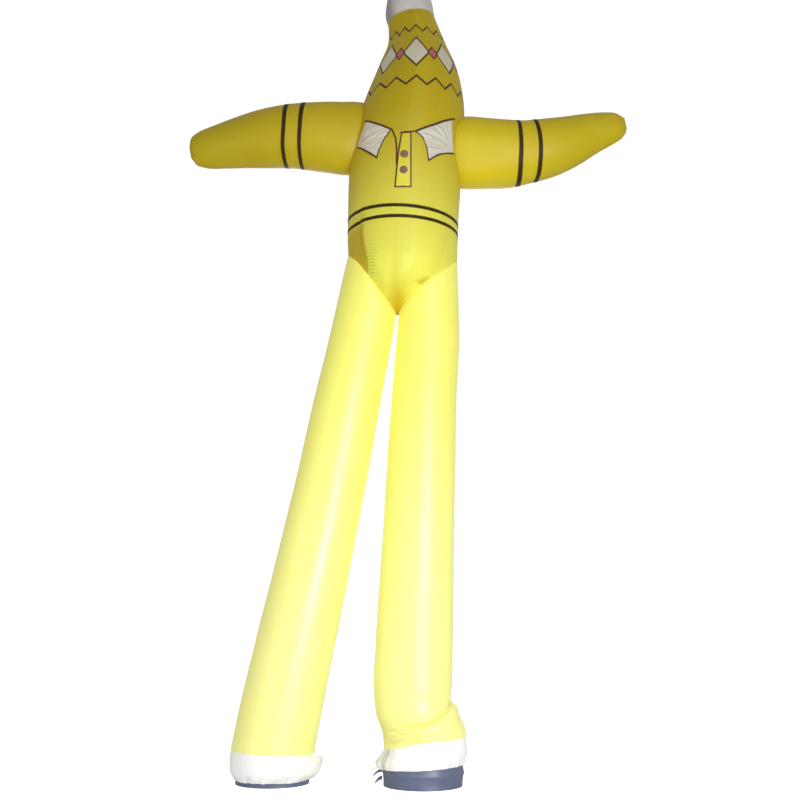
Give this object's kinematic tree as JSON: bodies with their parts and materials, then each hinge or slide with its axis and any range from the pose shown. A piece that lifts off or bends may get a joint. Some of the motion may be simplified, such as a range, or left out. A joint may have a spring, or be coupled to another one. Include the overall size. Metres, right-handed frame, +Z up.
{
  "type": "two-legged inflatable air dancer",
  "caption": "Tall cloth tube figure with two legs, two tapering arms and a domed head, blown up from below to sway over an entrance as an eye-catching sign.",
  "frame": {"origin": "on the ground, in the middle of the bounding box", "axes": "+Z up towards the head; the front with the collar faces -Y; +X to the right as seen from the front"},
  "size_m": [2.8288, 0.7202, 5.044],
  "materials": {
    "body_front_left": "matte",
    "body_front_right": "matte",
    "body_back": "matte",
    "head_cap": "matte",
    "arm_left": "matte",
    "arm_right": "matte",
    "arm_left_stripe_inner": "matte",
    "arm_left_stripe_outer": "matte",
    "arm_right_stripe_inner": "matte",
    "arm_right_stripe_outer": "matte",
    "waist_stripe_upper": "matte",
    "waist_stripe_lower": "matte",
    "collar_left": "matte",
    "collar_right": "matte",
    "placket": "matte",
    "button_upper": "matte",
    "button_lower": "matte",
    "leg_left": "matte",
    "leg_right": "matte",
    "cuff_left": "matte",
    "cuff_right": "matte",
    "band_left": "satin",
    "band_right": "satin",
    "strap_tail_upper": "matte",
    "strap_tail_lower": "matte"
  },
  "bodies": {
    "root": {"body_front_left": "body_front_left", "body_front_right": "body_front_right", "body_back": "body_back", "head_cap": "head_cap", "arm_left": "arm_left", "arm_right": "arm_right", "arm_left_stripe_inner": "arm_left_stripe_inner", "arm_left_stripe_outer": "arm_left_stripe_outer", "arm_right_stripe_inner": "arm_right_stripe_inner", "arm_right_stripe_outer": "arm_right_stripe_outer", "waist_stripe_upper": "waist_stripe_upper", "waist_stripe_lower": "waist_stripe_lower", "collar_left": "collar_left", "collar_right": "collar_right", "placket": "placket", "button_upper": "button_upper", "button_lower": "button_lower", "leg_left": "leg_left", "leg_right": "leg_right", "cuff_left": "cuff_left", "cuff_right": "cuff_right", "band_left": "band_left", "band_right": "band_right", "strap_tail_upper": "strap_tail_upper", "strap_tail_lower": "strap_tail_lower"}
  },
  "joints": []
}
